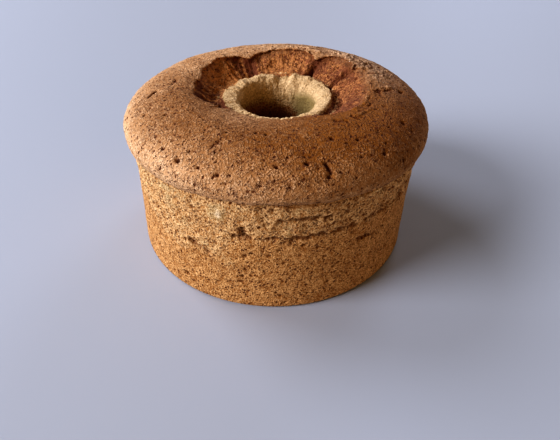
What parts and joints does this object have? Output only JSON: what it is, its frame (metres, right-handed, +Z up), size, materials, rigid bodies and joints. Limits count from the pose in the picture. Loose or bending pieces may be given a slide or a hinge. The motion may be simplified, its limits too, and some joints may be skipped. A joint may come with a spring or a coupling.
{
  "type": "chiffon cake",
  "caption": "Whole chiffon cake: a tall sponge ring with a domed, browned top that burst round the hole its tube pan left.",
  "frame": {"origin": "on the flat base the cake stands on, below the middle of its bounding box", "axes": "+Z up along the hole, -Y towards the front, where the crust reaches the hole unbroken"},
  "size_m": [0.1682, 0.1676, 0.0904],
  "materials": {
    "baked_sponge": "matt, porous baked sponge with a browned skin"
  },
  "bodies": {
    "root": {"chiffon_cake": "baked_sponge"}
  },
  "joints": []
}
